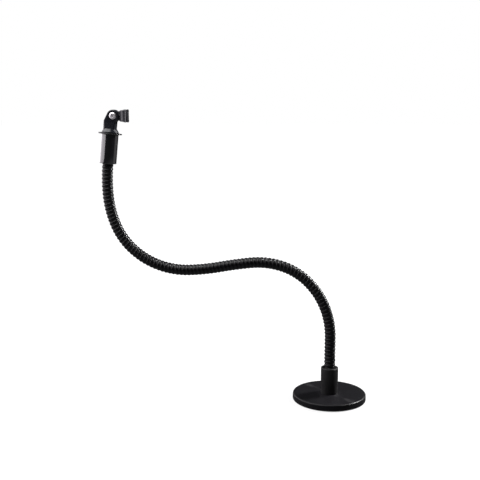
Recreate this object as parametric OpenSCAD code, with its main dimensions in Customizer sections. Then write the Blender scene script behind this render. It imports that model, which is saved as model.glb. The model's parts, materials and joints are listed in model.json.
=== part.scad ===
// Desktop microphone stand: a round weighted base, a flexible gooseneck arm
// between two ferrules, and a small tilting microphone clip at its tip.
// The underside of the base sits at z = 0, centred on the origin.

/* [Base] */
// Diameter of the round base
base_d = 101.6; // [90:0.1:120]
// Height of the base, with the rubber pad under it
base_h = 9.6; // [9.5:0.1:14]
// Thickness of the rubber pad
pad_t = 0.8; // [0.5:0.1:2]
// Radius of the rounded top rim
rim_r = 1.6; // [1:0.1:4]

/* [Gooseneck] */
// Outside diameter of the flexible tube
neck_d = 15.2; // [14:0.1:16]
// Diameter of the hollow inside the flexible tube
neck_bore_d = 12; // [9:0.1:12.4]
// Length along the tube from one bending station to the next
link_l = 43.1; // [38:0.1:50]
// How deep the tube is fixed in each ferrule
insert_l = 20; // [15:1:22]

/* [Ferrules] */
// Diameter of the lower ferrule
collar_d = 24; // [20:0.1:28]
// Length of the lower ferrule
collar_l = 36.6; // [34:0.1:50]
// Diameter of the upper sleeve
sleeve_d = 23.4; // [20:0.1:28]
// Length of the upper sleeve
sleeve_l = 40; // [38:1:50]
// Diameter of the locking disc
disc_d = 32.6; // [30:0.1:40]
// Thickness of the locking disc
disc_t = 2; // [1.5:0.1:3]
// Diameter of the threaded stud, a 3/8 inch microphone thread
stud_d = 9.5; // [9.5:0.1:10]

/* [Clip] */
// Diameter of the knuckle
knuckle_d = 17; // [16:0.1:20]
// Width of the knuckle across both ears
knuckle_w = 11.8; // [11:0.1:14]
// Thickness of the tongue between the ears
tongue_t = 4.4; // [3:0.1:4.6]
// Height of the pivot above the locking disc
pivot_up = 23.4; // [23:0.1:30]
// Offset of the pivot from the axis of the foot
pivot_out = 3; // [0:0.1:4]
// Diameter of the microphone that the clip grips
grip_d = 11; // [9:0.1:12]
// Length of the clip along the microphone
grip_l = 17; // [12:0.5:18]

/* [Hidden] */
$fn = 96;

// Bend of each link at rest in degrees, positive towards -X
LINK_BEND = [0, 22, 24, 28, 23, 4, -8, -22, -23, -26, -18, -10];
LINKS = len(LINK_BEND);

// Clearance of a fixed fit, of a turning fit, and between faces that pass
fixed_gap = 0.05;
turn_gap = 0.06;
pass_gap = 0.3;

// Room past the end of a rod in a blind hole
end_gap = 0.5;

// How far a cutting shape runs past the face that it cuts
over = 1;

// Base hardware
base_r = base_d / 2;
disc_h = base_h - pad_t;
pad_r = base_r - 2;
bolt_r = 5;
bolt_head_r = 8;
bolt_head_h = 3.8;
bolt_head_rim = 0.4;
bolt_hex_r = 3.5;
bolt_hex_depth = 2.5;
bolt_hole_gap = 0.25;
bolt_hole_h = 13;
washer_r = 9;
washer_t = 1.5;
washer_split = 1.2;
recess_r = 10;
recess_h = 5.5;
seat_z = pad_t + recess_h - washer_t;

// Gooseneck: each link has a round nose that sits in a cup in the next one
neck_r = neck_d / 2;
neck_bore_r = neck_bore_d / 2;
nose_step = 0.2;
nose_root = 0.8;
nose_r = neck_r - nose_step;
nose_bore_r = neck_bore_r + nose_step;
cup_r = nose_r + 0.6;
plug_r = neck_r - 0.1;
pocket_r = neck_r + fixed_gap;

// Ferrules, stud and locking disc, heights measured from the sleeve's lower end
foot_gap = 0.1;
collar_r = collar_d / 2;
collar_rim = 0.8;
collar_top = base_h + collar_l;
sleeve_r = sleeve_d / 2;
sleeve_rim = 0.5;
stud_r = stud_d / 2;
stud_rim = 0.6;
stud_z = sleeve_l - 13;
stud_l = 25;
stud_hex_r = 2.9;
stud_hex_depth = 5;
disc_bore_gap = 0.15;
foot_z = sleeve_l + disc_t + foot_gap;

// Clip foot, heights measured from its underside
knuckle_r = knuckle_d / 2;
skirt_r = 11.7;
skirt_top_r = 8.9;
skirt_h = 5.4;
stem_left = -9;
stem_right = 7.9;
stem_y = 14.6;
stem_corner_r = 9.2;
stem_h = 10.6;
shoulder_z = 16.2;
insert_r = 6.2;
insert_low = 0.2;
insert_top = 10;
slot_w = tongue_t + 2 * pass_gap;
slot_r = knuckle_r + 0.5;
slot_l = 60;
slot_h = 30;
pivot_z = pivot_up - foot_gap;

// Pivot hardware: an M5 pan head screw and a thin nut, both partly sunk in the ears
screw_r = 2.5;
screw_head_r = 5.2;
screw_head_h = 2.4;
screw_hex_r = 1.9;
screw_hex_depth = 1.4;
screw_sink_r = 6;
screw_sink_h = 1.6;
screw_end = 0.3;
nut_r = 4.6;
nut_h = 2.4;
nut_sink_h = 1.7;
nut_gap = 0.15;

// Clip jaws, measured from the pivot along the tongue
jaw_t = 1.8;
grip_r = grip_d / 2;
jaw_r = grip_r + jaw_t;
jaw_x = knuckle_r + 0.4 + jaw_r;
jaw_mouth = 66;
bead_r = 1.2;
bead_l = grip_l + 1.6;
jaw_root = 0.6;
tongue_r = knuckle_r - 0.6;
tongue_h = 12.4;

// ---- places along the arm, as [x, z] ----

function turned(v, a) = [v.x * cos(a) - v.y * sin(a), v.x * sin(a) + v.y * cos(a)];

// Direction of the tube where a link starts, in degrees from straight up
function turn_before(k) = k <= 0 ? 0 : turn_before(k - 1) + LINK_BEND[k - 1];

// Radius of a link's centre line
function curve_r(bend) = link_l * 180 / (PI * abs(bend));

// Far end of a link from its start, before it is turned into place
function link_end(bend) =
    bend == 0 ? [0, link_l] :
    [sign(bend) * curve_r(bend) * (cos(bend) - 1), curve_r(bend) * sin(abs(bend))];

// Where a link starts: the bending stations, from the lower ferrule up
function station(k) =
    k <= 0 ? [0, collar_top] :
    station(k - 1) + turned(link_end(LINK_BEND[k - 1]), turn_before(k - 1));

module at_station(k) {
    translate([station(k).x, 0, station(k).y])
        rotate([0, -turn_before(k), 0])
            children();
}

// The head's own frame: the lower end of the upper sleeve, +Z along its axis
module at_head() {
    at_station(LINKS) children();
}

module at_foot() {
    at_head() translate([0, 0, foot_z]) children();
}

// The clip's own frame: the pivot, +X along the tongue, level at rest
module at_pivot() {
    at_foot()
        translate([pivot_out, 0, pivot_z])
            rotate([0, turn_before(LINKS), 0])
                children();
}

// ---- shared shapes ----

module ring(outer, inner, h) {
    linear_extrude(height = h)
        difference() {
            circle(r = outer);
            circle(r = inner);
        }
}

// A cylinder with both rims chamfered
module turned_rod(r, h, chamfer) {
    rotate_extrude()
        polygon([
            [0, 0], [r - chamfer, 0], [r, chamfer],
            [r, h - chamfer], [r - chamfer, h], [0, h]
        ]);
}

// A cylinder along Y, between two depths
module cross_rod(r, y0, y1) {
    translate([0, y1, 0]) rotate([90, 0, 0]) cylinder(r = r, h = y1 - y0);
}

module cross_hex(r, y0, y1) {
    translate([0, y1, 0]) rotate([90, 0, 0]) cylinder(r = r, h = y1 - y0, $fn = 6);
}

// The point where a line from p touches a circle, on the side given by 1 or -1
function touch_point(centre, r, p, side) =
    let (d = norm(p - centre))
    let (a = atan2(p.y - centre.y, p.x - centre.x) + side * acos(r / d))
    centre + r * [cos(a), sin(a)];

// ---- base ----

module base_disc() {
    color("#232225")
        difference() {
            translate([0, 0, pad_t])
                rotate_extrude()
                    union() {
                        square([base_r - rim_r, disc_h]);
                        square([base_r, disc_h - rim_r]);
                        translate([base_r - rim_r, disc_h - rim_r]) circle(r = rim_r);
                    }
            cylinder(r = bolt_r + bolt_hole_gap, h = base_h + over);
            cylinder(r = recess_r, h = pad_t + recess_h);
        }
}

module rubber_pad() {
    color("#161617") cylinder(r = pad_r, h = pad_t);
}

module base_bolt() {
    head_z = seat_z - bolt_head_h;
    tip_z = base_h + bolt_hole_h - end_gap;
    color("#8a8c90")
        difference() {
            union() {
                translate([0, 0, head_z]) turned_rod(bolt_head_r, bolt_head_h, bolt_head_rim);
                translate([0, 0, seat_z]) cylinder(r = bolt_r, h = tip_z - seat_z);
            }
            translate([0, 0, head_z - over])
                cylinder(r = bolt_hex_r, h = bolt_hex_depth + over, $fn = 6);
        }
}

module lock_washer() {
    color("#9a9ca0")
        translate([0, 0, seat_z])
            difference() {
                ring(washer_r, bolt_r + bolt_hole_gap, washer_t);
                translate([0, -washer_split / 2, -over])
                    cube([washer_r + over, washer_split, washer_t + 2 * over]);
            }
}

// ---- arm ----

module lower_ferrule() {
    color("#1a1a1c")
        difference() {
            translate([0, 0, base_h]) turned_rod(collar_r, collar_l, collar_rim);
            translate([0, 0, collar_top - insert_l]) cylinder(r = pocket_r, h = insert_l + over);
            translate([0, 0, base_h - over])
                cylinder(r = bolt_r + fixed_gap, h = bolt_hole_h + over);
        }
}

// A hollow tube along one link, bending towards -X by a positive angle
module link_tube(bend) {
    rotate([0, 0, bend < 0 ? 180 : 0])
        translate([-curve_r(bend), 0, 0])
            rotate([90, 0, 0])
                rotate_extrude(angle = abs(bend))
                    translate([curve_r(bend), 0])
                        difference() {
                            circle(r = neck_r);
                            circle(r = neck_bore_r);
                        }
}

// The round nose at the top of a link, rooted in the wall of the tube
module link_nose() {
    rotate_extrude()
        intersection() {
            union() {
                circle(r = nose_r);
                translate([0, -nose_root]) square([nose_r, nose_root]);
            }
            translate([nose_bore_r, -nose_root]) square([nose_r, nose_r + nose_root]);
        }
}

// The straight end of the tube that is fixed in the upper sleeve
module end_plug() {
    translate([0, 0, -nose_root]) ring(plug_r, nose_bore_r, insert_l + nose_root);
}

module gooseneck_link(k) {
    color("#202024")
        union() {
            difference() {
                at_station(k) link_tube(LINK_BEND[k]);
                if (k > 0) at_station(k) sphere(r = cup_r);
            }
            at_station(k + 1)
                if (k == LINKS - 1) end_plug();
                else link_nose();
        }
}

// The first link is straight, and runs down into the lower ferrule
module first_link() {
    color("#202024")
        union() {
            translate([0, 0, collar_top - insert_l])
                ring(neck_r, neck_bore_r, insert_l + link_l);
            at_station(1) link_nose();
        }
}

module upper_sleeve() {
    color("#2b2a2e")
        at_head()
            difference() {
                turned_rod(sleeve_r, sleeve_l, sleeve_rim);
                translate([0, 0, -over]) cylinder(r = pocket_r, h = insert_l + over);
                translate([0, 0, stud_z - end_gap])
                    cylinder(r = stud_r + fixed_gap, h = sleeve_l - stud_z + end_gap + over);
            }
}

module threaded_stud() {
    color("#8f9094")
        at_head()
            translate([0, 0, stud_z])
                difference() {
                    turned_rod(stud_r, stud_l, stud_rim);
                    translate([0, 0, stud_l - stud_hex_depth])
                        cylinder(r = stud_hex_r, h = stud_hex_depth + over, $fn = 6);
                }
}

module locking_disc() {
    color("#2a2a2c")
        at_head() translate([0, 0, sleeve_l]) ring(disc_d / 2, stud_r + disc_bore_gap, disc_t);
}

// ---- clip ----

// Side outline of the ears and the stem below them, as [x, z]
module foot_outline() {
    pivot = [pivot_out, pivot_z];
    left = [stem_left, shoulder_z];
    union() {
        translate(pivot) circle(r = knuckle_r);
        polygon([
            [stem_left, skirt_h], left,
            touch_point(pivot, knuckle_r, left, -1),
            pivot,
            [stem_right, shoulder_z],
            [stem_right, skirt_h]
        ]);
    }
}

module clip_foot() {
    ear_y = knuckle_w / 2;
    color("#25272a")
        at_foot()
            difference() {
                union() {
                    cylinder(r1 = skirt_r, r2 = skirt_top_r, h = skirt_h);
                    linear_extrude(height = stem_h)
                        intersection() {
                            translate([stem_left, -stem_y / 2])
                                square([stem_right - stem_left, stem_y]);
                            circle(r = stem_corner_r);
                        }
                    translate([0, ear_y, 0])
                        rotate([90, 0, 0])
                            linear_extrude(height = knuckle_w) foot_outline();
                }
                translate([0, 0, -over])
                    cylinder(r = insert_r + fixed_gap, h = insert_top + insert_low + over);
                translate([pivot_out, 0, pivot_z]) {
                    cross_rod(slot_r, -slot_w / 2, slot_w / 2);
                    translate([-slot_l / 2, -slot_w / 2, -slot_r]) cube([slot_l, slot_w, slot_h]);
                    cross_rod(screw_r + turn_gap, -ear_y - over, ear_y + over);
                    cross_rod(screw_sink_r, -ear_y - over, screw_sink_h - ear_y);
                    cross_hex(nut_r + nut_gap, ear_y - nut_sink_h, ear_y + over);
                }
            }
}

module thread_insert() {
    color("#b08d45")
        at_foot()
            translate([0, 0, insert_low])
                ring(insert_r, stud_r + turn_gap, insert_top - insert_low);
}

module pivot_screw() {
    seat = screw_sink_h - knuckle_w / 2;
    face = seat - screw_head_h;
    tip = knuckle_w / 2 - nut_sink_h + nut_h - screw_end;
    color("#d8d9dc")
        at_foot()
            translate([pivot_out, 0, pivot_z])
                difference() {
                    union() {
                        cross_rod(screw_head_r, face, seat);
                        cross_rod(screw_r, seat, tip);
                    }
                    cross_hex(screw_hex_r, face - over, face + screw_hex_depth);
                }
}

module pivot_nut() {
    low = knuckle_w / 2 - nut_sink_h + fixed_gap;
    color("#b9bbbf")
        at_foot()
            translate([pivot_out, 0, pivot_z])
                difference() {
                    cross_hex(nut_r, low, low + nut_h);
                    cross_rod(screw_r + fixed_gap, low - over, low + nut_h + over);
                }
}

// Plan of the jaws: a ring open away from the pivot, with a bead on each lip
module jaw_plan() {
    difference() {
        circle(r = jaw_r);
        circle(r = grip_r);
        polygon([
            [0, 0], 3 * jaw_r * [cos(jaw_mouth), sin(jaw_mouth)],
            [3 * jaw_r, 3 * jaw_r], [3 * jaw_r, -3 * jaw_r],
            3 * jaw_r * [cos(jaw_mouth), -sin(jaw_mouth)]
        ]);
    }
}

module mic_clip() {
    lip_r = grip_r + bead_r + fixed_gap;
    color("#4a4a4e")
        at_pivot()
            difference() {
                union() {
                    cross_rod(tongue_r, -tongue_t / 2, tongue_t / 2);
                    translate([0, -tongue_t / 2, -tongue_h / 2])
                        cube([jaw_x - grip_r - jaw_root, tongue_t, tongue_h]);
                    translate([jaw_x, 0, -grip_l / 2]) {
                        linear_extrude(height = grip_l) jaw_plan();
                        for (side = [-1, 1])
                            translate([
                                lip_r * cos(jaw_mouth), side * lip_r * sin(jaw_mouth),
                                (grip_l - bead_l) / 2
                            ])
                                cylinder(r = bead_r, h = bead_l);
                    }
                }
                cross_rod(screw_r + turn_gap, -tongue_t, tongue_t);
            }
}

base_disc();
rubber_pad();
base_bolt();
lock_washer();
lower_ferrule();
first_link();  // gooseneck_01
gooseneck_link(1);  // gooseneck_02
gooseneck_link(2);  // gooseneck_03
gooseneck_link(3);  // gooseneck_04
gooseneck_link(4);  // gooseneck_05
gooseneck_link(5);  // gooseneck_06
gooseneck_link(6);  // gooseneck_07
gooseneck_link(7);  // gooseneck_08
gooseneck_link(8);  // gooseneck_09
gooseneck_link(9);  // gooseneck_10
gooseneck_link(10);  // gooseneck_11
gooseneck_link(11);  // gooseneck_12
upper_sleeve();
threaded_stud();
locking_disc();
clip_foot();
thread_insert();
pivot_screw();
pivot_nut();
mic_clip();
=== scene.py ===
"""Desktop microphone stand: the visual model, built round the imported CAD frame."""

import json
import math

import bmesh
import bpy
from mathutils import Matrix, Vector


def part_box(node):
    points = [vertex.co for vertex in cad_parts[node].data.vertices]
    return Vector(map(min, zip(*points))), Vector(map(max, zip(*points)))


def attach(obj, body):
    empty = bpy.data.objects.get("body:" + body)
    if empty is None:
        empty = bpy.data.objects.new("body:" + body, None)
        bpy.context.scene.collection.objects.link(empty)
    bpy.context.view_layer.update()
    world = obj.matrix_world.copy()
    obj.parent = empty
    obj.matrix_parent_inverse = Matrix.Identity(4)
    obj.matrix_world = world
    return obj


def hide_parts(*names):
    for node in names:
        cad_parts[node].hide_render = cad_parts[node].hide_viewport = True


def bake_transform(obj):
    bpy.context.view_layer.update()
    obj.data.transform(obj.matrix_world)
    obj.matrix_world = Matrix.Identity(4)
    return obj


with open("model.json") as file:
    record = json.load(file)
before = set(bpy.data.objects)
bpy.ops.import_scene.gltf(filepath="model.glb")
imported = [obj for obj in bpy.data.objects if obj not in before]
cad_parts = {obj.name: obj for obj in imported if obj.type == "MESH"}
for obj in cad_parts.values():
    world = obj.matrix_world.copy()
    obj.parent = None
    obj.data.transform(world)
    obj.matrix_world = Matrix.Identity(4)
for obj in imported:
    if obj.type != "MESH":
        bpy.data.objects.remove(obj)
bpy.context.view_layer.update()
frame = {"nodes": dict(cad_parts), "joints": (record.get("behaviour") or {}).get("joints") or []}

MM = 0.001

# ---- places, worked out from the frame ----

JOINTS = {j["name"]: j for j in frame["joints"]}
NECK_JOINTS = [j for j in frame["joints"] if j["name"].startswith("neck_")]
HEAD_AXIS = Vector(JOINTS["clip_turn"]["axis"]).normalized()
FOOT_AT = Vector(JOINTS["clip_turn"]["pos_m"])
PIVOT_AT = Vector(JOINTS["clip_tilt"]["pos_m"])
FERRULE_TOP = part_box("lower_ferrule")[1].z
BASE_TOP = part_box("base_disc")[1].z
BASE_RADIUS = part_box("base_disc")[1].x
PAD_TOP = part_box("rubber_pad")[1].z
PAD_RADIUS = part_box("rubber_pad")[1].x
COLLAR_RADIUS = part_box("lower_ferrule")[1].x
NECK_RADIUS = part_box("gooseneck_01")[1].x
SLEEVE_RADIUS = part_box("upper_sleeve")[1].y
DISC_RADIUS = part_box("locking_disc")[1].y

# The head's axis leans by this much from straight up, as a heading towards -X
HEAD_HEADING = math.atan2(-HEAD_AXIS.x, HEAD_AXIS.z)


def along(heading):
    """Direction of the tube at a heading, which is 0 straight up and grows towards -X."""
    return Vector((-math.sin(heading), 0, math.cos(heading)))


def across(heading):
    """Direction in the plane of the curve, to the right of the tube."""
    return Vector((math.cos(heading), 0, math.sin(heading)))


class Arm:
    """The gooseneck's centre line: one arc per link, tangent to the next."""

    def __init__(self):
        self.points = [Vector((0, 0, FERRULE_TOP))] + [Vector(j["pos_m"]) for j in NECK_JOINTS]
        self.link = (self.points[1] - self.points[0]).length
        self.headings = [0.0]
        for a, b in zip(self.points, self.points[1:]):
            chord = math.atan2(-(b - a).x, (b - a).z)
            self.headings.append(2 * chord - self.headings[-1])
        self.headings.append(HEAD_HEADING)
        self.count = len(self.points)
        self.length = self.link * self.count
        self.points.append(self.at(self.length)[0])

    def at(self, s):
        """The centre line's point and heading at a length from the lower ferrule's top."""
        if s <= 0:
            return self.points[0] + s * along(0), 0.0
        if s > self.length:
            return self.points[-1] + (s - self.length) * along(HEAD_HEADING), HEAD_HEADING
        k = min(int(s / self.link), self.count - 1)
        run = s - k * self.link
        start, end = self.headings[k], self.headings[k + 1]
        turn = (end - start) * run / self.link
        chord = run * (math.sin(turn / 2) / (turn / 2) if abs(turn) > 1e-9 else 1)
        return self.points[k] + chord * along(start + turn / 2), start + turn


ARM = Arm()
SLEEVE_AT = ARM.points[-1]

UPRIGHT = Matrix.Identity(4)
HEAD_TURN = Matrix.Rotation(-HEAD_HEADING, 4, "Y")
AT_SLEEVE = Matrix.Translation(SLEEVE_AT) @ HEAD_TURN
AT_FOOT = Matrix.Translation(FOOT_AT) @ HEAD_TURN
AT_PIVOT = Matrix.Translation(PIVOT_AT)
SLEEVE_LENGTH = 40 * MM
DISC_THICKNESS = 2 * MM

# The pivot and the knuckle in the foot's own frame, in millimetres
PIVOT_X, _, PIVOT_Z = (AT_FOOT.inverted() @ PIVOT_AT) / MM
KNUCKLE_R = (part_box("clip_foot")[1].z - PIVOT_AT.z) / MM


# ---- outlines and mesh shapes ----

def on_circle(centre, radius, degrees):
    """The point of a circle at an angle."""
    a = math.radians(degrees)
    return centre[0] + radius * math.cos(a), centre[1] + radius * math.sin(a)


def arc(centre, radius, start, end, steps):
    """Points on an arc, with angles in degrees."""
    return [on_circle(centre, radius, start + (end - start) * i / steps) for i in range(steps + 1)]


def circle(radius, sides, x=0.0, y=0.0):
    """Points round a circle."""
    turns = [2 * math.pi * j / sides for j in range(sides)]
    return [(x + radius * math.cos(a), y + radius * math.sin(a)) for a in turns]


def rounded(corners, steps=6, closed=False):
    """A path through (x, y) or (x, y, radius) corners, with an arc at each corner that has a radius."""
    path = []
    n = len(corners)
    for i, corner in enumerate(corners):
        p = Vector(corner[:2])
        end = not closed and i in (0, n - 1)
        if end or len(corner) < 3:
            path.append(tuple(p))
            continue
        u = (Vector(corners[i - 1][:2]) - p).normalized()
        v = (Vector(corners[(i + 1) % n][:2]) - p).normalized()
        half = u.angle(v) / 2
        centre = p + (u + v).normalized() * corner[2] / math.sin(half)
        a = p + u * corner[2] / math.tan(half) - centre
        b = p + v * corner[2] / math.tan(half) - centre
        turn = math.atan2(a.x * b.y - a.y * b.x, a.dot(b))
        first = math.atan2(a.y, a.x)
        for j in range(steps + 1):
            angle = first + turn * j / steps
            path.append((centre.x + corner[2] * math.cos(angle), centre.y + corner[2] * math.sin(angle)))
    return path


def inset(outline, amount):
    """A closed outline, given anticlockwise, moved inwards by an amount."""
    moved = []
    n = len(outline)
    for i, p in enumerate(outline):
        p = Vector(p)
        u = (p - Vector(outline[i - 1])).normalized()
        v = (Vector(outline[(i + 1) % n]) - p).normalized()
        inward = Vector((-u.y - v.y, u.x + v.x))
        inward.normalize()
        share = max(0.5, inward.dot(Vector((-u.y, u.x))))
        moved.append(tuple(p + inward * amount / share))
    return moved


def lathe(profile, segments=128):
    """A closed solid of revolution about Z, from an (r, z) profile that starts and ends on the axis,
    or that joins up with itself where it never meets the axis."""
    verts, faces, rings = [], [], []
    for r, z in profile:
        if r < 1e-9:
            rings.append([len(verts)])
            verts.append((0, 0, z))
            continue
        rings.append(list(range(len(verts), len(verts) + segments)))
        turns = [2 * math.pi * j / segments for j in range(segments)]
        verts += [(r * math.cos(a), r * math.sin(a), z) for a in turns]
    pairs = list(zip(rings, rings[1:]))
    if len(rings[0]) > 1 and len(rings[-1]) > 1:
        pairs.append((rings[-1], rings[0]))
    for low, high in pairs:
        for j in range(segments):
            k = (j + 1) % segments
            if len(low) == 1 and len(high) > 1:
                faces.append((low[0], high[k], high[j]))
            elif len(high) == 1 and len(low) > 1:
                faces.append((low[j], low[k], high[0]))
            elif len(low) > 1:
                faces.append((low[j], low[k], high[k], high[j]))
    return verts, faces


def loft(loops):
    """A closed solid through loops of the same number of points."""
    n = len(loops[0])
    verts = [tuple(p) for loop in loops for p in loop]
    faces = []
    for i in range(len(loops) - 1):
        for j in range(n):
            k = (j + 1) % n
            faces.append((i * n + j, i * n + k, (i + 1) * n + k, (i + 1) * n + j))
    faces.append(tuple(range(n - 1, -1, -1)))
    faces.append(tuple(range((len(loops) - 1) * n, len(loops) * n)))
    return verts, faces


def slab(outline, y0, y1, round_r, steps=5):
    """An (x, z) outline extruded along Y, with its two rims rounded."""
    loops = []
    for i in range(steps + 1):
        a = math.pi / 2 * i / steps
        ring = inset(outline, round_r * (1 - math.sin(a)))
        loops.append([(x, y0 + round_r * (1 - math.cos(a)), z) for x, z in ring])
    for i in range(steps, -1, -1):
        a = math.pi / 2 * i / steps
        ring = inset(outline, round_r * (1 - math.sin(a)))
        loops.append([(x, y1 - round_r * (1 - math.cos(a)), z) for x, z in ring])
    return loft(loops)


def rod_y(radius, y0, y1, x=0.0, z=0.0, sides=64):
    """A rod along Y."""
    ring = circle(radius, sides, x, z)
    return loft([[(px, y, pz) for px, pz in ring] for y in (y0, y1)])


def make(name, shapes, place=UPRIGHT, sharp=32):
    """An object from (verts, faces) shapes in millimetres, put in place, with its sharp edges marked."""
    bm = bmesh.new()
    for verts, faces in shapes:
        made = [bm.verts.new(v) for v in verts]
        for f in faces:
            bm.faces.new([made[i] for i in f])
    bmesh.ops.scale(bm, vec=(MM, MM, MM), verts=bm.verts)
    bmesh.ops.transform(bm, matrix=place, verts=bm.verts)
    bmesh.ops.recalc_face_normals(bm, faces=bm.faces)
    mesh = bpy.data.meshes.new(name)
    bm.to_mesh(mesh)
    bm.free()
    return shown(name, mesh, sharp)


def shown(name, mesh, sharp=32):
    mesh.shade_smooth()
    mesh.set_sharp_from_angle(angle=math.radians(sharp))
    obj = bpy.data.objects.new(name, mesh)
    bpy.context.scene.collection.objects.link(obj)
    return obj


def cut(obj, *tools):
    """Takes the tools' shapes out of obj, and removes the tools."""
    for tool in tools:
        change = obj.modifiers.new("cut", "BOOLEAN")
        change.operation = "DIFFERENCE"
        change.solver = "EXACT"
        change.object = tool
    return settle(obj, *tools)


def joined(obj, *others):
    for other in others:
        change = obj.modifiers.new("join", "BOOLEAN")
        change.operation = "UNION"
        change.solver = "EXACT"
        change.object = other
    return settle(obj, *others)


def settle(obj, *tools):
    """Applies obj's modifiers to its mesh, and removes the objects that they used."""
    bpy.context.view_layer.update()
    graph = bpy.context.evaluated_depsgraph_get()
    mesh = bpy.data.meshes.new_from_object(obj.evaluated_get(graph))
    obj.modifiers.clear()
    obj.data = mesh
    for tool in tools:
        bpy.data.objects.remove(tool)
    mesh.shade_smooth()
    mesh.set_sharp_from_angle(angle=math.radians(32))
    return obj


def soften(obj, width, segments=2):
    """Rounds the sharp edges of obj a little, as a moulding or a machined part has them."""
    bevel = obj.modifiers.new("soften", "BEVEL")
    bevel.width = width * MM
    bevel.segments = segments
    bevel.limit_method = "ANGLE"
    bevel.angle_limit = math.radians(35)
    bevel.harden_normals = True
    return obj


def finished(obj, look, body=None, nodes=()):
    """Gives obj its material, puts it under its body's empty, and hides the CAD nodes that it stands for."""
    obj.data.materials.clear()
    obj.data.materials.append(look)
    if body:
        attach(obj, body)
    if nodes:
        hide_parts(*nodes)
    return obj


# ---- materials ----

def set_range(node, low, high, to_low, to_high):
    """Sets the four limits of a Map Range node."""
    limits = {"From Min": low, "From Max": high, "To Min": to_low, "To Max": to_high}
    for socket, number in limits.items():
        node.inputs[socket].default_value = number


class Look:
    """A Principled material, with nodes that vary its colour, roughness and surface."""

    def __init__(self, name, colour, roughness, metallic=0.0, specular=0.5, coat=0.0, coat_roughness=0.1):
        self.material = bpy.data.materials.new(name)
        self.material.use_nodes = True
        self.nodes = self.material.node_tree.nodes
        self.links = self.material.node_tree.links
        self.shader = self.nodes["Principled BSDF"]
        self.colour = (*colour, 1.0)
        self.set("Base Color", self.colour)
        self.set("Roughness", roughness)
        self.set("Metallic", metallic)
        self.set("Specular IOR Level", specular)
        self.set("Coat Weight", coat)
        self.set("Coat Roughness", coat_roughness)
        self.place = self.nodes.new("ShaderNodeTexCoord").outputs["Object"]
        self.normal = None

    def set(self, socket, value):
        self.shader.inputs[socket].default_value = value

    def noise(self, size_mm, detail=3.0, rough=0.55, stretch=(1, 1, 1)):
        """Noise whose features are about size_mm across, drawn out along an axis by a stretch below 1."""
        scaled = self.nodes.new("ShaderNodeVectorMath")
        scaled.operation = "MULTIPLY"
        scaled.inputs[1].default_value = stretch
        self.links.new(self.place, scaled.inputs[0])
        texture = self.nodes.new("ShaderNodeTexNoise")
        texture.inputs["Scale"].default_value = 1 / (size_mm * MM)
        texture.inputs["Detail"].default_value = detail
        texture.inputs["Roughness"].default_value = rough
        self.links.new(scaled.outputs[0], texture.inputs["Vector"])
        return texture.outputs["Fac"]

    def grains(self, size_mm):
        """Small rounded grains, as in a textured powder coat."""
        texture = self.nodes.new("ShaderNodeTexVoronoi")
        texture.inputs["Scale"].default_value = 1 / (size_mm * MM)
        self.links.new(self.place, texture.inputs["Vector"])
        return texture.outputs["Distance"]

    def spread(self, value, low, high, to_low, to_high):
        """Maps low..high of a value onto to_low..to_high, smoothly."""
        node = self.nodes.new("ShaderNodeMapRange")
        node.interpolation_type = "SMOOTHSTEP"
        set_range(node, low, high, to_low, to_high)
        self.links.new(value, node.inputs["Value"])
        return node.outputs["Result"]

    def edges(self, low=0.52, high=0.6):
        """1 on the outer edges of a shape, where handling wears it."""
        return self.spread(self.nodes.new("ShaderNodeNewGeometry").outputs["Pointiness"], low, high, 0, 1)

    def times(self, a, b):
        node = self.nodes.new("ShaderNodeMath")
        node.operation = "MULTIPLY"
        self.links.new(a, node.inputs[0])
        self.links.new(b, node.inputs[1])
        return node.outputs[0]

    def tint(self, amount, other):
        """Blends the colour towards another one, by an amount from 0 to 1."""
        mix = self.nodes.new("ShaderNodeMix")
        mix.data_type = "RGBA"
        socket = self.shader.inputs["Base Color"]
        if socket.is_linked:
            self.links.new(socket.links[0].from_socket, mix.inputs[6])
        else:
            mix.inputs[6].default_value = self.colour
        mix.inputs[7].default_value = (*other, 1.0)
        self.links.new(amount, mix.inputs[0])
        self.links.new(mix.outputs[2], socket)

    def rough(self, value):
        self.links.new(value, self.shader.inputs["Roughness"])

    def bump(self, height, depth_mm, strength=1.0):
        """Adds relief: height from 0 to 1 stands for this depth."""
        node = self.nodes.new("ShaderNodeBump")
        node.inputs["Strength"].default_value = strength
        node.inputs["Distance"].default_value = depth_mm * MM
        self.links.new(height, node.inputs["Height"])
        if self.normal:
            self.links.new(self.normal, node.inputs["Normal"])
        self.normal = node.outputs["Normal"]
        self.links.new(self.normal, self.shader.inputs["Normal"])


def distance_from_axis(look):
    """Distance from the vertical axis through the origin, in metres."""
    split = look.nodes.new("ShaderNodeVectorMath")
    split.operation = "MULTIPLY"
    split.inputs[1].default_value = (1, 1, 0)
    look.links.new(look.place, split.inputs[0])
    length = look.nodes.new("ShaderNodeVectorMath")
    length.operation = "LENGTH"
    look.links.new(split.outputs[0], length.inputs[0])
    return length.outputs["Value"]


def base_look():
    look = Look("base_coat", (0.0026, 0.0024, 0.0034), 0.42, specular=0.25)
    look.tint(look.spread(look.noise(14, 4), 0.35, 0.7, 0, 0.7), (0.004, 0.0037, 0.005))
    # Painted sheen: the top is painted lighter in a ring round the collar's foot, strongest close to the
    # collar.
    look.tint(look.spread(distance_from_axis(look), 0.022, 0.0135, 0, 0.6), (0.008, 0.0075, 0.0095))
    worn = look.times(look.edges(), look.spread(look.noise(5, 4), 0.3, 0.7, 0.1, 0.7))
    look.tint(worn, (0.03, 0.029, 0.031))
    look.rough(look.spread(look.noise(3, 5), 0.3, 0.7, 0.37, 0.48))
    look.bump(look.grains(0.7), 0.02, 0.7)
    look.bump(look.noise(2.5, 4), 0.03, 0.5)
    return look.material


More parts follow.
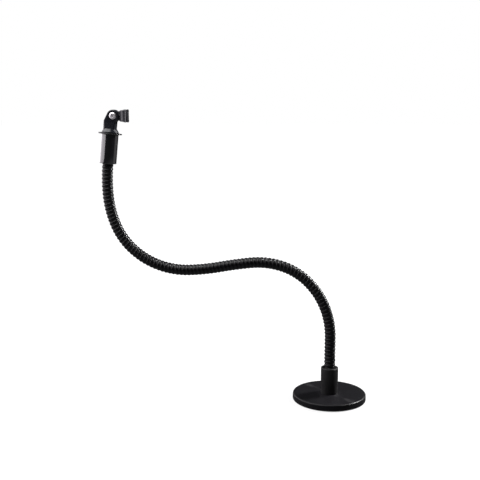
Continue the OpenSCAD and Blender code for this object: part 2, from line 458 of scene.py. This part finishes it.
def collar_look():
    look = Look("collar_paint", (0.0058, 0.0058, 0.0062), 0.5, specular=0.35)
    look.tint(look.spread(look.noise(6, 4), 0.4, 0.75, 0, 0.6), (0.0085, 0.0085, 0.0088))
    worn = look.times(look.edges(), look.spread(look.noise(2.5, 3), 0.35, 0.7, 0.1, 0.8))
    look.tint(worn, (0.03, 0.03, 0.03))
    look.rough(look.spread(look.noise(2.5, 5), 0.3, 0.7, 0.42, 0.58))
    look.bump(look.noise(0.5, 3), 0.03, 0.6)
    return look.material


def winding_look(name, colour, roughness):
    look = Look(name, colour, roughness, specular=0.28)
    look.tint(look.spread(look.noise(9, 4), 0.4, 0.75, 0, 0.6), tuple(2 * c for c in colour))
    worn = look.times(look.edges(0.53, 0.62), look.spread(look.noise(3, 4), 0.45, 0.75, 0, 0.5))
    look.tint(worn, (0.05, 0.05, 0.052))
    look.rough(look.spread(look.noise(2.2, 4), 0.3, 0.75, roughness - 0.04, roughness + 0.09))
    look.bump(look.noise(0.6, 3), 0.008, 0.5)
    return look.material


def sleeve_look():
    look = Look("sleeve_gloss", (0.0052, 0.0042, 0.0066), 0.14, specular=1.0, coat=1.0, coat_roughness=0.06)
    fine = look.noise(0.35, 4, 0.6, (1, 1, 0.06))
    look.tint(look.spread(look.noise(11, 3), 0.4, 0.75, 0, 0.6), (0.0075, 0.007, 0.0085))
    worn = look.times(look.edges(), look.spread(look.noise(2, 3), 0.35, 0.7, 0.1, 0.7))
    look.tint(worn, (0.05, 0.05, 0.052))
    look.rough(look.spread(fine, 0.35, 0.7, 0.12, 0.18))
    look.bump(fine, 0.0015, 0.4)
    return look.material


def disc_look():
    look = Look("disc_satin", (0.006, 0.006, 0.0065), 0.25, specular=0.8)
    worn = look.times(look.edges(0.515, 0.6), look.spread(look.noise(2, 3), 0.3, 0.7, 0.2, 0.9))
    look.tint(worn, (0.09, 0.088, 0.09))
    look.rough(look.spread(look.noise(1.5, 4), 0.3, 0.7, 0.22, 0.34))
    look.bump(look.noise(0.4, 3), 0.006, 0.5)
    return look.material


def foot_look():
    look = Look("foot_plastic", (0.0075, 0.0088, 0.0125), 0.27, specular=0.48)
    look.tint(look.spread(look.noise(5, 4), 0.4, 0.7, 0, 0.7), (0.0105, 0.012, 0.016))
    worn = look.times(look.edges(0.52, 0.62), look.spread(look.noise(1.6, 3), 0.3, 0.7, 0.1, 0.7))
    look.tint(worn, (0.05, 0.052, 0.055))
    look.rough(look.spread(look.noise(1.2, 4), 0.3, 0.7, 0.23, 0.31))
    look.bump(look.noise(0.3, 3), 0.012, 0.6)
    return look.material


def clip_look():
    look = Look("clip_plastic", (0.038, 0.039, 0.046), 0.3)
    look.tint(look.spread(look.noise(4, 4), 0.4, 0.75, 0, 0.7), (0.05, 0.05, 0.058))
    worn = look.times(look.edges(0.52, 0.62), look.spread(look.noise(1.5, 3), 0.3, 0.7, 0.1, 0.7))
    look.tint(worn, (0.11, 0.11, 0.115))
    look.rough(look.spread(look.noise(1.0, 4), 0.3, 0.7, 0.26, 0.34))
    look.bump(look.noise(0.35, 3), 0.008, 0.5)
    return look.material


def steel_look(name, colour, roughness):
    look = Look(name, colour, roughness, metallic=1.0)
    look.tint(look.spread(look.noise(1.8, 4), 0.45, 0.75, 0, 0.6), tuple(0.72 * c for c in colour))
    look.rough(look.spread(look.noise(0.5, 4), 0.3, 0.7, roughness - 0.05, roughness + 0.1))
    look.bump(look.noise(0.25, 3), 0.006, 0.5)
    return look.material


def rubber_look():
    look = Look("pad_rubber", (0.013, 0.013, 0.013), 0.8, specular=0.3)
    look.tint(look.spread(look.noise(8, 4), 0.4, 0.7, 0, 0.8), (0.021, 0.02, 0.019))
    look.rough(look.spread(look.noise(2, 4), 0.3, 0.7, 0.72, 0.9))
    look.bump(look.grains(0.9), 0.06, 0.6)
    return look.material


# ---- camera, lights and floor ----

# The camera's place in metres, its lens in millimetres, and where it points, in degrees
CAMERA_AT = (0, -1.0524, 0.3934)
CAMERA_LENS = 58.5
CAMERA_DOWN, CAMERA_LEFT = 9.124, 6.812


def make_camera():
    """In front of the base and above it, looking down a little and to the left."""
    data = bpy.data.cameras.new("camera")
    data.lens = CAMERA_LENS
    data.sensor_width = 36
    camera = bpy.data.objects.new("camera", data)
    bpy.context.scene.collection.objects.link(camera)
    down, left = math.radians(CAMERA_DOWN), math.radians(CAMERA_LEFT)
    camera.location = CAMERA_AT
    aim = Vector((-math.sin(left) * math.cos(down), math.cos(left) * math.cos(down), -math.sin(down)))
    camera.rotation_mode = "QUATERNION"
    camera.rotation_quaternion = aim.to_track_quat("-Z", "Y")
    bpy.context.scene.camera = camera


def softbox(name, at, aim, width, height, radiance, colour=(1, 1, 1)):
    """A soft panel that looks equally bright from every side, whatever its size."""
    data = bpy.data.lights.new(name, "AREA")
    data.shape = "RECTANGLE"
    data.size, data.size_y = width, height
    data.energy = radiance * math.pi * width * height
    data.color = colour
    light = bpy.data.objects.new(name, data)
    bpy.context.scene.collection.objects.link(light)
    light.location = at
    light.rotation_mode = "QUATERNION"
    light.rotation_quaternion = (Vector(aim) - Vector(at)).to_track_quat("-Z", "Y")
    light.visible_camera = False
    return light


# Brightness of the room, and of the floor as the pieces reflect it, and how far below level
# a reflection points, as the sine of its slope, where one blends into the other
ROOM_GLOW, ROOM_FROM = 0.04, -0.24
FLOOR_GLOW, FLOOR_TO = 0.25, -0.38


def make_studio():
    """A wide panel on the left, a dim one on the right, one overhead, and a small key behind on the right."""
    head = SLEEVE_AT
    softbox("left_panel", (head.x - 1.0, 0.42, 0.66), (head.x, 0.42, 0.66), 3.1, 1.0, 2.4, (1.0, 0.95, 1.0))
    softbox("right_panel", (head.x + 1.0, 0.5, 0.5), (head.x, 0.5, 0.5), 0.9, 1.2, 0.25, (1.0, 0.99, 1.0))
    softbox("overhead", (head.x - 0.35, -0.25, 1.3), (-0.2, 0, 0.2), 1.5, 1.0, 4.5)
    softbox("key", (0.79, 0.47, 0.85), (-0.05, 0, 0.22), 0.26, 0.26, 140)

    world = bpy.data.worlds.new("studio")
    world.use_nodes = True
    nodes, links = world.node_tree.nodes, world.node_tree.links
    nodes.clear()
    output = nodes.new("ShaderNodeOutputWorld")
    mix = nodes.new("ShaderNodeMixShader")
    dim = nodes.new("ShaderNodeBackground")
    dim.inputs["Color"].default_value = (0.95, 0.96, 1.0, 1)
    direction = nodes.new("ShaderNodeTexCoord").outputs["Generated"]
    split = nodes.new("ShaderNodeSeparateXYZ")
    links.new(direction, split.inputs[0])
    rise = nodes.new("ShaderNodeMapRange")
    set_range(rise, FLOOR_TO, ROOM_FROM, FLOOR_GLOW, ROOM_GLOW)
    links.new(split.outputs["Z"], rise.inputs["Value"])
    links.new(rise.outputs["Result"], dim.inputs["Strength"])
    white = nodes.new("ShaderNodeBackground")
    white.inputs["Color"].default_value = (1, 1, 1, 1)
    white.inputs["Strength"].default_value = 1.0
    path = nodes.new("ShaderNodeLightPath")
    links.new(path.outputs["Is Camera Ray"], mix.inputs[0])
    links.new(dim.outputs[0], mix.inputs[1])
    links.new(white.outputs[0], mix.inputs[2])
    links.new(mix.outputs[0], output.inputs["Surface"])
    bpy.context.scene.world = world
    bpy.context.scene.view_settings.view_transform = "Standard"


FLOOR_HALF = 30.0
FLOOR_DROP = 0.0002


def make_floor():
    """A plain pale floor, level with the underside of the base, that fades to white away from it."""
    bm = bmesh.new()
    bmesh.ops.create_grid(bm, x_segments=8, y_segments=8, size=FLOOR_HALF)
    mesh = bpy.data.meshes.new("floor")
    bm.to_mesh(mesh)
    bm.free()
    floor = bpy.data.objects.new("floor", mesh)
    bpy.context.scene.collection.objects.link(floor)
    floor.location.z = -FLOOR_DROP
    paint = Look("floor_paint", (0.2, 0.2, 0.2), 1.0, specular=0.0)
    paint.set("Emission Color", (1, 1, 1, 1))
    # Painted light: the floor glows, 0.8 round the base rising to 1.0 far off, so it is painted a little
    # dimmer near the base, where its contact shadow falls.
    glow = paint.spread(distance_from_axis(paint), 0.1, 0.9, 0.8, 1.0)
    paint.links.new(glow, paint.shader.inputs["Emission Strength"])
    mesh.materials.append(paint.material)
    floor.visible_glossy = False
    floor.visible_diffuse = False


# ---- the pieces ----

def make_base():
    """The weighted disc: a rounded top rim, and a top that dips a little between the collar and the rim."""
    r, low, high = BASE_RADIUS / MM, PAD_TOP / MM, BASE_TOP / MM
    foot_r = COLLAR_RADIUS / MM
    profile = rounded([
        (0, low), (r - 0.5, low, 0.4), (r, low + 0.8, 0.5), (r - 0.1, high, 2.0),
        (r - 7, high - 0.1, 5), (r - 20, high - 0.35, 9),
        (foot_r + 4, high - 0.25, 4), (foot_r + 1.2, high, 1.2), (0, high)
    ], 8)
    base = make("base_disc_coated", [lathe(profile, 256)], sharp=25)
    return finished(base, base_look(), "base", ["base_disc"])


def make_pad():
    """The rubber pad, with shallow grip rings in its underside."""
    r, high = PAD_RADIUS / MM, PAD_TOP / MM
    corners = [(0, high), (r, high, 0.15), (r, 0.0, 0.3)]
    for ring in (r - 4, r - 8, r - 12):
        corners += [(ring + 0.9, 0.0, 0.15), (ring + 0.6, 0.3, 0.1)]
        corners += [(ring - 0.6, 0.3, 0.1), (ring - 0.9, 0.0, 0.15)]
    corners.append((0, 0.0))
    pad = make("rubber_pad_ringed", [lathe(rounded(corners, 3), 192)], sharp=40)
    return finished(pad, rubber_look(), "base", ["rubber_pad"])


# Radii of a ferrule's bore and of its mouth, which the gooseneck's ribs just clear
BORE_R = NECK_RADIUS / MM + 0.3
MOUTH_R = BORE_R + 0.7


def make_collar():
    """The lower ferrule, with a wider mouth where the gooseneck enters it."""
    r, low, high = COLLAR_RADIUS / MM, BASE_TOP / MM, FERRULE_TOP / MM
    profile = rounded([
        (0, low), (r - 0.3, low, 0.2), (r, low + 0.4, 0.3), (r, high, 0.9), (MOUTH_R, high, 0.4),
        (MOUTH_R - 0.1, high - 3.2, 0.3), (BORE_R, high - 3.8, 0.3), (BORE_R, high - 20), (0, high - 20)
    ], 5)
    collar = make("lower_ferrule_painted", [lathe(profile, 128)], sharp=25)
    return finished(collar, collar_look(), "base", ["lower_ferrule"])


WINDING_PITCH = 5.25 * MM
WINDING_STEPS = 40
# How far the wires run on into the ferrules, past each end of the arm
INSERT_DEPTH = 14 * MM

# Sections of the two wires, as (out from the wire's centre, along the tube), in millimetres
ROUND_WIRE_AT = NECK_RADIUS / MM - 2.35
ROUND_WIRE = circle(1.85, 14)
WEDGE_WIRE_AT = NECK_RADIUS / MM - 1.0
WEDGE_WIRE = rounded([
    (1.2, 0), (1.05, 1.05, 1.2), (0.6, 1.75, 0.35), (-0.5, 1.25), (-1.6, 0.35, 0.3),
    (-1.6, -0.35, 0.3), (-0.5, -1.25), (0.6, -1.75, 0.35), (1.05, -1.05, 1.2)
], 3, closed=True)


def wire_ring(turns, centre_r, section, phase):
    """One section of a wire wound round the arm, after so many turns from the lower ferrule's top."""
    angle = 2 * math.pi * (turns + phase)
    point, heading = ARM.at(turns * WINDING_PITCH)
    u, t = across(heading), along(heading)
    side = t.cross(u)
    out = math.cos(angle) * u + math.sin(angle) * side
    round_way = math.cos(angle) * side - math.sin(angle) * u
    run = (round_way * 2 * math.pi * centre_r * MM + t * WINDING_PITCH).normalized()
    up = out.cross(run)
    centre = point + out * centre_r * MM
    return [tuple((centre + (a * out + b * up) * MM) / MM) for a, b in section]


def make_winding():
    """The gooseneck's two wires, cut into pieces half way along each link."""
    joints = len(NECK_JOINTS)
    round_look = winding_look("winding_round_wire", (0.0025, 0.0024, 0.003), 0.27)
    wedge_look = winding_look("winding_wedge_wire", (0.003, 0.0028, 0.0036), 0.22)
    wires = (
        ("round", ROUND_WIRE_AT, ROUND_WIRE, 0.5, round_look),
        ("wedge", WEDGE_WIRE_AT, WEDGE_WIRE, 0.0, wedge_look),
    )
    ends = [-INSERT_DEPTH] + [(k + 0.5) * ARM.link for k in range(1, joints)] + [ARM.length + INSERT_DEPTH]
    for k in range(joints):
        first = round(ends[k] / WINDING_PITCH * WINDING_STEPS)
        last = round(ends[k + 1] / WINDING_PITCH * WINDING_STEPS)
        nodes = ["gooseneck_%02d" % (k + 1)] + (["gooseneck_%02d" % (k + 2)] if k == joints - 1 else [])
        for wire, centre_r, section, phase, look in wires:
            rings = [wire_ring(i / WINDING_STEPS, centre_r, section, phase) for i in range(first, last + 1)]
            piece = make("winding_%s_%02d" % (wire, k + 1), [loft(rings)], sharp=50)
            finished(piece, look)
            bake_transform(piece)
            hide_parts(*nodes)


def make_sleeve():
    """The glossy upper ferrule, open at its lower end for the gooseneck and bored for the stud."""
    r, high = SLEEVE_RADIUS / MM, SLEEVE_LENGTH / MM
    profile = rounded([
        (0, 20), (BORE_R, 20), (BORE_R, 3.4, 0.3), (MOUTH_R - 0.1, 2.8, 0.3), (MOUTH_R, 0, 0.4), (r, 0, 0.6),
        (r, high, 0.5), (4.8, high, 0.3), (4.8, 26.5), (0, 26.5)
    ], 5)
    sleeve = make("upper_sleeve_gloss", [lathe(profile, 128)], AT_SLEEVE, sharp=25)
    return finished(sleeve, sleeve_look(), "link_12", ["upper_sleeve"])


def make_disc():
    """The thin locking disc, thinner towards its rim."""
    r, t = DISC_RADIUS / MM, DISC_THICKNESS / MM
    profile = rounded([
        (4.9, 0.3), (5.2, 0), (r - 4.8, 0, 3), (r, 0.4, 0.2), (r, t - 0.4, 0.2),
        (r - 4.8, t, 3), (5.2, t), (4.9, t - 0.3)
    ], 4)
    place = AT_SLEEVE @ Matrix.Translation((0, 0, SLEEVE_LENGTH))
    disc = make("locking_disc_satin", [lathe(profile, 128)], place, sharp=25)
    return finished(disc, disc_look(), "link_12", ["locking_disc"])


# The foot's sizes, and those of the hardware that is partly sunk in its ears, in millimetres
EAR_Y = 5.9
STEM_LEFT, STEM_RIGHT, STEM_Y = -9.0, 7.9, 7.3
STEM_FULL_Z, STEM_SLIM_Z = 5.0, 15.0
EAR_FOOT_Z, SHOULDER_Z = 9.5, 16.2
# The hollow under the knuckle, and how far up the knuckle's arc it ends, in degrees
FILLET_R, FILLET_TURN = 3.2, 14
SKIRT_R, SKIRT_CONE_R, SKIRT_TOP_R = 11.7, 11.3, 9.0
SKIRT_RIM_H, SKIRT_H = 1.9, 5.6
SLOT_HALF = 2.5
SCREW_SEAT = EAR_Y - 1.6
SCREW_HEAD_R, SCREW_HEAD_H = 5.2, 2.4
SOCKET_R = 2.2
NUT_LOW, NUT_HIGH = 4.25, 6.65
INSERT_R, INSERT_TOP = 6.25, 10.2


def tangent_angle(centre, radius, p, side):
    """Angle on a circle, in degrees, where a line from p touches it."""
    d = math.hypot(p[0] - centre[0], p[1] - centre[1])
    return math.degrees(math.atan2(p[1] - centre[1], p[0] - centre[0]) + side * math.acos(radius / d))


def rounded_box(left, right, half_y, corner, z):
    """A level rounded rectangle, as a loop of points."""
    corners = [(x, y, corner) for x, y in (
        (left, -half_y), (right, -half_y), (right, half_y), (left, half_y)
    )]
    return [(x, y, z) for x, y in rounded(corners, 8, closed=True)]


def make_stem():
    """The foot's stem, deep enough for the thread insert, and slimmer where the ears start."""
    heights = [1.0, 4.6] + [STEM_FULL_Z + 0.5 * i for i in range(21)]
    loops = []
    for z in heights:
        rise = min(1.0, max(0.0, (z - STEM_FULL_Z) / (STEM_SLIM_Z - STEM_FULL_Z)))
        half_y = STEM_Y + (EAR_Y - 0.1 - STEM_Y) * rise
        loops.append(rounded_box(STEM_LEFT + 0.05, STEM_RIGHT - 0.05, half_y, 3.2 - 1.8 * rise, z))
    return make("stem", [loft(loops)])


def make_foot():
    """The clip's foot: a skirt, a stem, and two ears with the screw's counterbore and the nut's pocket."""
    pivot = (PIVOT_X, PIVOT_Z)
    left = (STEM_LEFT, SHOULDER_Z)
    joint_z = PIVOT_Z - math.sqrt(KNUCKLE_R ** 2 - (STEM_RIGHT - PIVOT_X) ** 2)
    end = tangent_angle(pivot, KNUCKLE_R, left, -1)
    start = math.degrees(math.atan2(joint_z - PIVOT_Z, STEM_RIGHT - PIVOT_X)) + FILLET_TURN
    outline = rounded([
        (STEM_LEFT, EAR_FOOT_Z), (STEM_RIGHT, EAR_FOOT_Z), (STEM_RIGHT, joint_z - 0.8, FILLET_R),
        on_circle(pivot, KNUCKLE_R, start)
    ], 6)[:-1]
    outline += arc(pivot, KNUCKLE_R, start, end % 360, 48)
    outline += rounded([outline[-1], (left[0], left[1], 1.5), (STEM_LEFT, EAR_FOOT_Z)], 5)[1:-1]
    foot = make("foot", [slab(outline, -EAR_Y, EAR_Y, 1.3, 6)])
    joined(foot, make_stem())
    skirt = rounded([
        (0, 0.05), (SKIRT_R, 0.05, 0.3), (SKIRT_R, SKIRT_RIM_H - 0.3, 0.4), (SKIRT_CONE_R, SKIRT_RIM_H, 0.3),
        (SKIRT_TOP_R, SKIRT_H, 0.4), (6.0, SKIRT_H + 0.2), (0, SKIRT_H + 0.2)
    ], 5)
    joined(foot, make("skirt", [lathe(skirt, 96)]))
    floor_z = PIVOT_Z - KNUCKLE_R - 0.5
    slot = rounded([(-30, floor_z), (40, floor_z), (40, 50), (-30, 50)], closed=True)
    tools = [
        make("slot", [loft([[(x, y, z) for x, z in slot] for y in (-SLOT_HALF, SLOT_HALF)])]),
        make("counterbore", [rod_y(6.0, -9, -SCREW_SEAT, PIVOT_X, PIVOT_Z, 72)]),
        make("screw_hole", [rod_y(2.6, -9, 9, PIVOT_X, PIVOT_Z, 48)]),
        make("nut_pocket", [rod_y(4.75, NUT_LOW - 0.05, 9, PIVOT_X, PIVOT_Z, 6)]),
        make("insert_hole", [lathe([(0, -1), (INSERT_R, -1), (INSERT_R, INSERT_TOP), (0, INSERT_TOP)], 64)]),
    ]
    cut(foot, *tools)
    foot.name = "clip_foot_moulded"
    foot.data.transform(AT_FOOT)
    soften(foot, 0.25)
    return finished(foot, foot_look(), "foot", ["clip_foot"])


def make_screw():
    """The pivot screw: a domed head with a hexagon socket, and a plain shank."""
    seat, face, r = SCREW_SEAT, SCREW_SEAT + SCREW_HEAD_H, SCREW_HEAD_R
    head = rounded([
        (0, seat), (r, seat, 0.15), (r, seat + 1.0, 0.5),
        (r - 1.1, face - 0.25, 1.6), (2.8, face, 0.3), (0, face)
    ], 6)
    screw = make("screw", [lathe(head, 96)])
    tip, top = -NUT_HIGH + 0.3, seat + 0.3
    shank = [(0, tip), (2.1, tip), (2.5, tip + 0.4), (2.5, top), (0, top)]
    joined(screw, make("shank", [lathe(shank, 64)]))
    turns = [math.radians(60 * i + 15) for i in range(6)]
    corners = [(SOCKET_R * math.cos(a), SOCKET_R * math.sin(a)) for a in turns]
    cut(screw, make("socket", [loft([[(x, y, z) for x, y in corners] for z in (face - 1.4, face + 1)])]))
    screw.name = "pivot_screw_domed"
    turn = Matrix.Rotation(math.radians(90), 4, "X")
    screw.data.transform(AT_FOOT @ Matrix.Translation((PIVOT_X * MM, 0, PIVOT_Z * MM)) @ turn)
    soften(screw, 0.08)
    nickel = steel_look("screw_nickel", (0.92, 0.9, 0.92), 0.4)
    return finished(screw, nickel, "foot", ["pivot_screw"])


def make_nut():
    """The thin nut, with its corners turned down."""
    low, high = NUT_LOW, NUT_HIGH
    nut = make("nut", [rod_y(4.6, low, high, 0, 0, 6)])
    turned = rounded([
        (0, low - 0.01), (4.1, low - 0.01), (4.75, low + 0.4),
        (4.75, high - 0.4), (4.1, high + 0.01), (0, high + 0.01)
    ])
    keep = make("keep", [lathe(turned, 64)], Matrix.Rotation(math.radians(-90), 4, "X"))
    trim = nut.modifiers.new("trim", "BOOLEAN")
    trim.operation, trim.solver, trim.object = "INTERSECT", "EXACT", keep
    settle(nut, keep)
    cut(nut, make("bore", [rod_y(2.52, low - 1, high + 1, 0, 0, 48)]))
    nut.name = "pivot_nut_turned"
    nut.data.transform(AT_FOOT @ Matrix.Translation((PIVOT_X * MM, 0, PIVOT_Z * MM)))
    soften(nut, 0.06)
    zinc = steel_look("nut_zinc", (0.55, 0.55, 0.57), 0.3)
    return finished(nut, zinc, "foot", ["pivot_nut"])


GRIP_R = 5.5
JAW_WALL = 1.8
JAW_X = KNUCKLE_R + 0.4 + GRIP_R + JAW_WALL
JAW_MOUTH = 66
JAW_HALF, LIP_HALF = 7.8, 8.9
# Each lip's outer face leaves the grip at this point and runs outwards at this slope
LIP_FOOT = (1.7, 7.4)
LIP_SLOPE = math.tan(math.radians(25))
TONGUE_Y = 2.2


def smooth(share, start, end):
    """An even rise from 0 at start to 1 at end."""
    t = min(1.0, max(0.0, (share - start) / (end - start)))
    return t * t * (3 - 2 * t)


def jaw_section(share, angle):
    """The jaw wall's section as (r, z), from the back of the grip at share 0 to a lip at share 1.

    The outer face runs round the grip and then straight out along the lip's ramp.
    """
    x, y = math.cos(angle), abs(math.sin(angle))
    ramp = (LIP_FOOT[1] - LIP_SLOPE * LIP_FOOT[0]) / (y - LIP_SLOPE * x) if x > 0 else 0
    tip = smooth(share, 0.97, 1.0)
    outer = max(GRIP_R + JAW_WALL + 0.1, ramp) - 0.5 * tip
    inner = GRIP_R + 2.0 * smooth(share, 0.9, 1.0)
    half = JAW_HALF + (LIP_HALF - JAW_HALF) * smooth(share, 0.5, 1.0) - 0.4 * tip
    waist = 0.3
    corners = [
        (inner, -half, 0.35), (outer, -half, 1.3), (outer - waist, -half + 3.2, 2.2),
        (outer - waist, half - 3.2, 2.2), (outer, half, 1.3), (inner, half, 0.35)
    ]
    return rounded(corners, 4, closed=True)


def make_clip():
    """The clip: a round tongue on the pivot, and two sprung jaws that end in flared lips."""
    loops = []
    steps = 96
    for i in range(steps + 1):
        side = 2 * i / steps - 1
        angle = math.radians(180 + side * (180 - JAW_MOUTH))
        section = jaw_section(abs(side), angle)
        loops.append([(JAW_X + r * math.cos(angle), r * math.sin(angle), z) for r, z in section])
    clip = make("jaws", [loft(loops)])
    arm_end = JAW_X - GRIP_R - 0.8
    half = 6.2
    round_r = KNUCKLE_R - 0.6
    turn = math.degrees(math.asin(half / round_r))
    outline = arc((0, 0), round_r, turn, 360 - turn, 48)
    outline += rounded([
        (4.0, -half), (7.4, -half, 1.5), (arm_end, -7.4), (arm_end, 7.4), (7.4, half, 1.5), (4.0, half)
    ], 5)[1:-1]
    tongue = make("tongue", [slab(outline, -TONGUE_Y, TONGUE_Y, 0.5, 4)])
    joined(clip, tongue)
    cut(clip, make("pin_hole", [rod_y(2.56, -5, 5, 0, 0, 48)]))
    clip.name = "mic_clip_moulded"
    clip.data.transform(AT_PIVOT)
    soften(clip, 0.15)
    return finished(clip, clip_look(), "clip", ["mic_clip"])


def paint_hidden_nodes():
    """Better materials for the small hardware that keeps its CAD shape."""
    zinc = steel_look("zinc_plate", (0.48, 0.48, 0.5), 0.34)
    brass = steel_look("turned_brass", (0.62, 0.42, 0.16), 0.28)
    looks = {"base_bolt": zinc, "lock_washer": zinc, "threaded_stud": zinc, "thread_insert": brass}
    for node, look in looks.items():
        mesh = frame["nodes"][node].data
        mesh.materials.clear()
        mesh.materials.append(look)


make_camera()
make_studio()
make_floor()
make_base()
make_pad()
make_collar()
make_winding()
make_sleeve()
make_disc()
make_foot()
make_screw()
make_nut()
make_clip()
paint_hidden_nodes()
